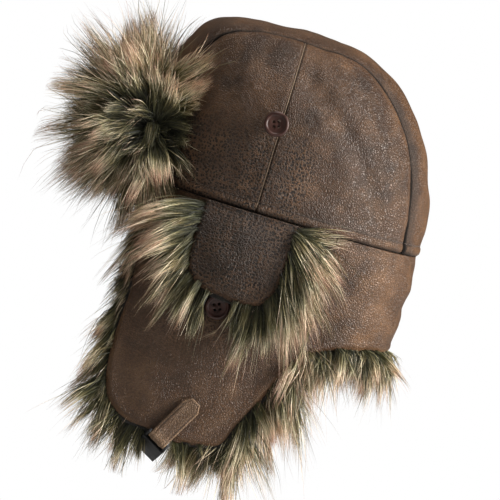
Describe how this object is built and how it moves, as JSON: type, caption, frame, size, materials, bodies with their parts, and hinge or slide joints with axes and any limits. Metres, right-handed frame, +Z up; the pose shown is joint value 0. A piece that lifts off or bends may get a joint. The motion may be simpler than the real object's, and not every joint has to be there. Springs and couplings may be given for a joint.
{
  "type": "trapper hat",
  "caption": "Leather trapper hat with a fur lining, folding earflaps with ear covers, a turned-up fur visor, a neck curtain and a buckled chin strap.",
  "frame": {"origin": "middle of the head opening, in the plane of the crown's rim", "axes": "+Z up through the crown, -Y to the wearer's front, +X to the wearer's left"},
  "size_m": [0.2094, 0.3139, 0.3562],
  "materials": {
    "leather_shell": "satin",
    "leather_strap": "satin",
    "fur_pile": "matte",
    "lining": "satin",
    "sweatband_cloth": "matte",
    "padding": "matte",
    "stiffener": "matte",
    "button": "satin",
    "thread": "matte",
    "elastic": "matte",
    "buckle": "satin"
  },
  "bodies": {
    "crown": {"crown_top_strip": "leather_shell", "crown_front_left_panel": "leather_shell", "crown_rear_left_panel": "leather_shell", "crown_front_right_panel": "leather_shell", "crown_rear_right_panel": "leather_shell", "crown_padding": "padding", "crown_lining": "lining", "sweatband": "sweatband_cloth", "left_crown_button": "button", "right_crown_button": "button", "crown_button_threads": "thread", "neck_curtain": "leather_shell", "neck_curtain_fur": "fur_pile"},
    "visor": {"visor_shell": "leather_shell", "visor_stiffener": "stiffener", "visor_fur": "fur_pile"},
    "left_earflap": {"left_earflap": "leather_shell", "left_earflap_fur": "fur_pile", "left_earflap_button": "button", "left_earflap_button_thread": "thread", "left_strap": "leather_strap"},
    "left_ear_cover": {"left_ear_cover": "leather_shell", "left_ear_cover_fur": "fur_pile", "left_ear_cover_loop": "elastic"},
    "right_earflap": {"right_earflap": "leather_shell", "right_earflap_fur": "fur_pile", "right_earflap_button": "button", "right_earflap_button_thread": "thread", "right_strap": "leather_strap"},
    "right_ear_cover": {"right_ear_cover": "leather_shell", "right_ear_cover_fur": "fur_pile", "right_ear_cover_loop": "elastic"},
    "left_buckle": {"buckle_socket": "buckle"},
    "right_buckle": {"buckle_plug": "buckle"}
  },
  "joints": [
    {"name": "visor_fold", "type": "hinge", "parent": "crown", "child": "visor", "pos_m": [0, -0.117, 0.002], "axis": [1, 0, 0], "range_deg": [0, 110], "deforming": ["visor_fur"]},
    {"name": "left_earflap_fold", "type": "hinge", "parent": "crown", "child": "left_earflap", "pos_m": [0.096, -0.02, -0.004], "axis": [0, 1, 0], "range_deg": [-150, 0], "deforming": ["left_earflap_fur"]},
    {"name": "left_ear_cover_fold", "type": "hinge", "parent": "left_earflap", "child": "left_ear_cover", "pos_m": [0.097, -0.02, -0.004], "axis": [0, -1, 0], "range_deg": [0, 150], "deforming": ["left_ear_cover_fur"]},
    {"name": "left_buckle_swing", "type": "hinge", "parent": "left_earflap", "child": "left_buckle", "pos_m": [0.082, -0.0396, -0.1921], "axis": [0, 0.8746, -0.4848], "range_deg": [-150, 0]},
    {"name": "right_earflap_fold", "type": "hinge", "parent": "crown", "child": "right_earflap", "pos_m": [-0.096, -0.02, -0.004], "axis": [0, -1, 0], "range_deg": [-150, 0], "deforming": ["right_earflap_fur"]},
    {"name": "right_ear_cover_fold", "type": "hinge", "parent": "right_earflap", "child": "right_ear_cover", "pos_m": [-0.097, -0.02, -0.004], "axis": [0, 1, 0], "range_deg": [0, 150], "deforming": ["right_ear_cover_fur"]},
    {"name": "right_buckle_swing", "type": "hinge", "parent": "right_earflap", "child": "right_buckle", "pos_m": [-0.082, -0.0396, -0.1921], "axis": [0, -0.8746, 0.4848], "range_deg": [-150, 0]}
  ]
}
